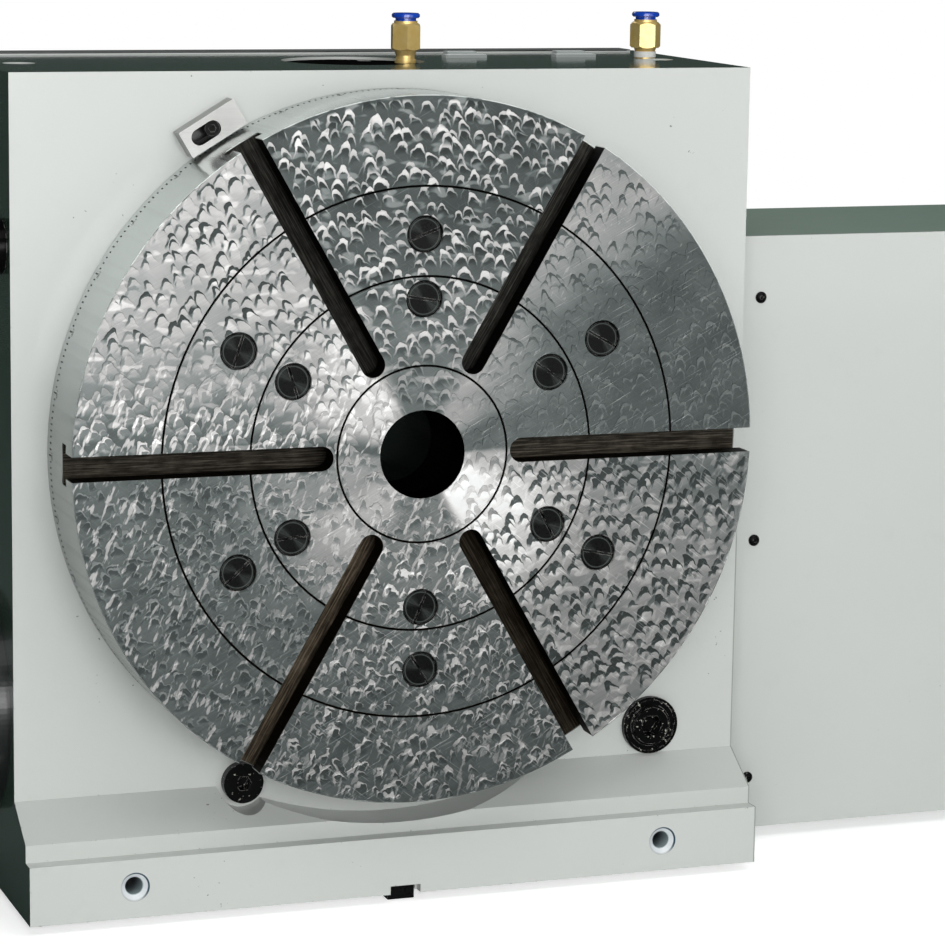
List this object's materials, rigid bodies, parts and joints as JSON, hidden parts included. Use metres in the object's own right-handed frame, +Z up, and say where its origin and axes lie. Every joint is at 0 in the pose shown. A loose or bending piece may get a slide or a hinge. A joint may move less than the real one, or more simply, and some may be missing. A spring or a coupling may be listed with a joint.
{
  "type": "rotary table",
  "caption": "Vertical worm-driven rotary table with a T-slotted scraped faceplate, cast housing, air brake and side motor box.",
  "frame": {"origin": "centre of the faceplate on its front face, on the table axis", "axes": "+X right seen from the front, +Y from the faceplate into the housing, +Z up; the table axis points out of the face along -Y"},
  "size_m": [0.7298, 0.2529, 0.5032],
  "materials": {
    "cast_paint": "glossy machine paint on cast iron: grey-white on the front and foot, dark green on the top, ends and rear",
    "green_paint": "glossy dark green machine paint",
    "sheet_paint": "glossy grey-white machine paint on sheet steel",
    "black_paint": "gloss black",
    "black_plastic": "gloss black moulding",
    "black_oxide": "blackened and oiled",
    "dark_steel": "plain machined",
    "gear_iron": "machined casting",
    "scraped_iron": "ground, then hand scraped with half-moon marks",
    "ground_steel": "fine ground",
    "satin_steel": "satin ground",
    "seal_rubber": "matt",
    "sight_glass": "clear, with oil behind it",
    "fitting_brass": "bright machined",
    "white_tape": "wound thread tape",
    "blue_plastic": "glossy moulding",
    "wheel_bronze": "machined bronze",
    "motor_alloy": "dark cast alloy"
  },
  "bodies": {
    "housing": {"housing": "cast_paint", "front_seal": "seal_rubber", "front_bearing_outer": "ground_steel", "rear_bearing_outer": "ground_steel", "rear_bearing_carrier": "green_paint", "carrier_screws": "dark_steel", "rear_cover": "black_paint", "brake_backing_ring": "dark_steel", "brake_cylinder": "dark_steel", "top_cover": "black_paint", "top_cover_screws": "dark_steel", "top_tabs": "cast_paint", "rear_strip": "black_paint", "worm_end_cover": "black_paint", "worm_end_cover_screws": "dark_steel", "worm_bearings_outer": "ground_steel", "worm_shaft_seal": "seal_rubber", "side_sight_glass": "black_plastic", "side_sight_lens": "sight_glass", "oil_fill_plug": "black_plastic", "oil_drain_plug": "black_oxide", "zero_block": "satin_steel", "zero_block_screw": "black_oxide", "base_keys": "black_oxide", "base_key_screws": "dark_steel", "air_fittings": "fitting_brass", "thread_tape": "white_tape", "gear_case": "gear_iron", "motor_plate": "dark_steel", "gear_case_screws": "dark_steel", "motor_body": "black_paint", "motor_end_cap": "motor_alloy", "motor_connectors": "motor_alloy", "motor_screws": "dark_steel", "motor_box": "green_paint", "motor_box_panel": "sheet_paint", "motor_box_screws": "black_oxide", "cable_glands": "black_plastic"},
    "table": {"faceplate": "scraped_iron", "bolt_plugs": "black_oxide", "faceplate_bolts": "dark_steel", "spindle": "ground_steel", "spindle_nut": "dark_steel", "front_bearing_inner": "ground_steel", "rear_bearing_inner": "ground_steel", "worm_wheel_rim": "wheel_bronze", "worm_wheel_hub": "gear_iron", "wheel_screws": "dark_steel", "brake_disc": "ground_steel"},
    "front_rollers": {"front_bearing_rollers": "ground_steel"},
    "rear_rollers": {"rear_bearing_rollers": "ground_steel"},
    "worm": {"worm_screw": "ground_steel", "worm_journals": "ground_steel", "worm_gear": "dark_steel", "worm_bearings_inner": "ground_steel"},
    "rotor": {"motor_shaft": "ground_steel", "motor_pinion": "dark_steel"},
    "piston": {"brake_piston": "ground_steel"},
    "left_collar": {"left_release_collar": "blue_plastic"},
    "right_collar": {"right_release_collar": "blue_plastic"}
  },
  "joints": [
    {"name": "table_turn", "type": "hinge", "parent": "housing", "child": "table", "pos_m": [0, 0, 0], "axis": [0, -1, 0], "continuous": true},
    {"name": "front_rollers_turn", "type": "hinge", "parent": "housing", "child": "front_rollers", "pos_m": [0, 0.097, 0], "axis": [0, -1, 0], "continuous": true},
    {"name": "rear_rollers_turn", "type": "hinge", "parent": "housing", "child": "rear_rollers", "pos_m": [0, 0.203, 0], "axis": [0, -1, 0], "continuous": true},
    {"name": "worm_turn", "type": "hinge", "parent": "housing", "child": "worm", "pos_m": [0, 0.13, -0.155], "axis": [1, 0, 0], "continuous": true},
    {"name": "rotor_turn", "type": "hinge", "parent": "housing", "child": "rotor", "pos_m": [0.25, 0.161, -0.11078], "axis": [1, 0, 0], "continuous": true},
    {"name": "brake_clamp", "type": "slide", "parent": "housing", "child": "piston", "axis": [0, -1, 0], "range_m": [0, 0.0012], "stiffness_N_per_m": 40000},
    {"name": "left_collar_press", "type": "slide", "parent": "housing", "child": "left_collar", "axis": [0, 0, -1], "range_m": [0, 0.0012], "stiffness_N_per_m": 3000},
    {"name": "right_collar_press", "type": "slide", "parent": "housing", "child": "right_collar", "axis": [0, 0, -1], "range_m": [0, 0.0012], "stiffness_N_per_m": 3000}
  ],
  "couplings": [
    {"joint": "front_rollers_turn", "follows": "table_turn", "ratio": 0.461},
    {"joint": "rear_rollers_turn", "follows": "table_turn", "ratio": 0.4529},
    {"joint": "worm_turn", "follows": "table_turn", "ratio": -90},
    {"joint": "rotor_turn", "follows": "table_turn", "ratio": 180}
  ]
}
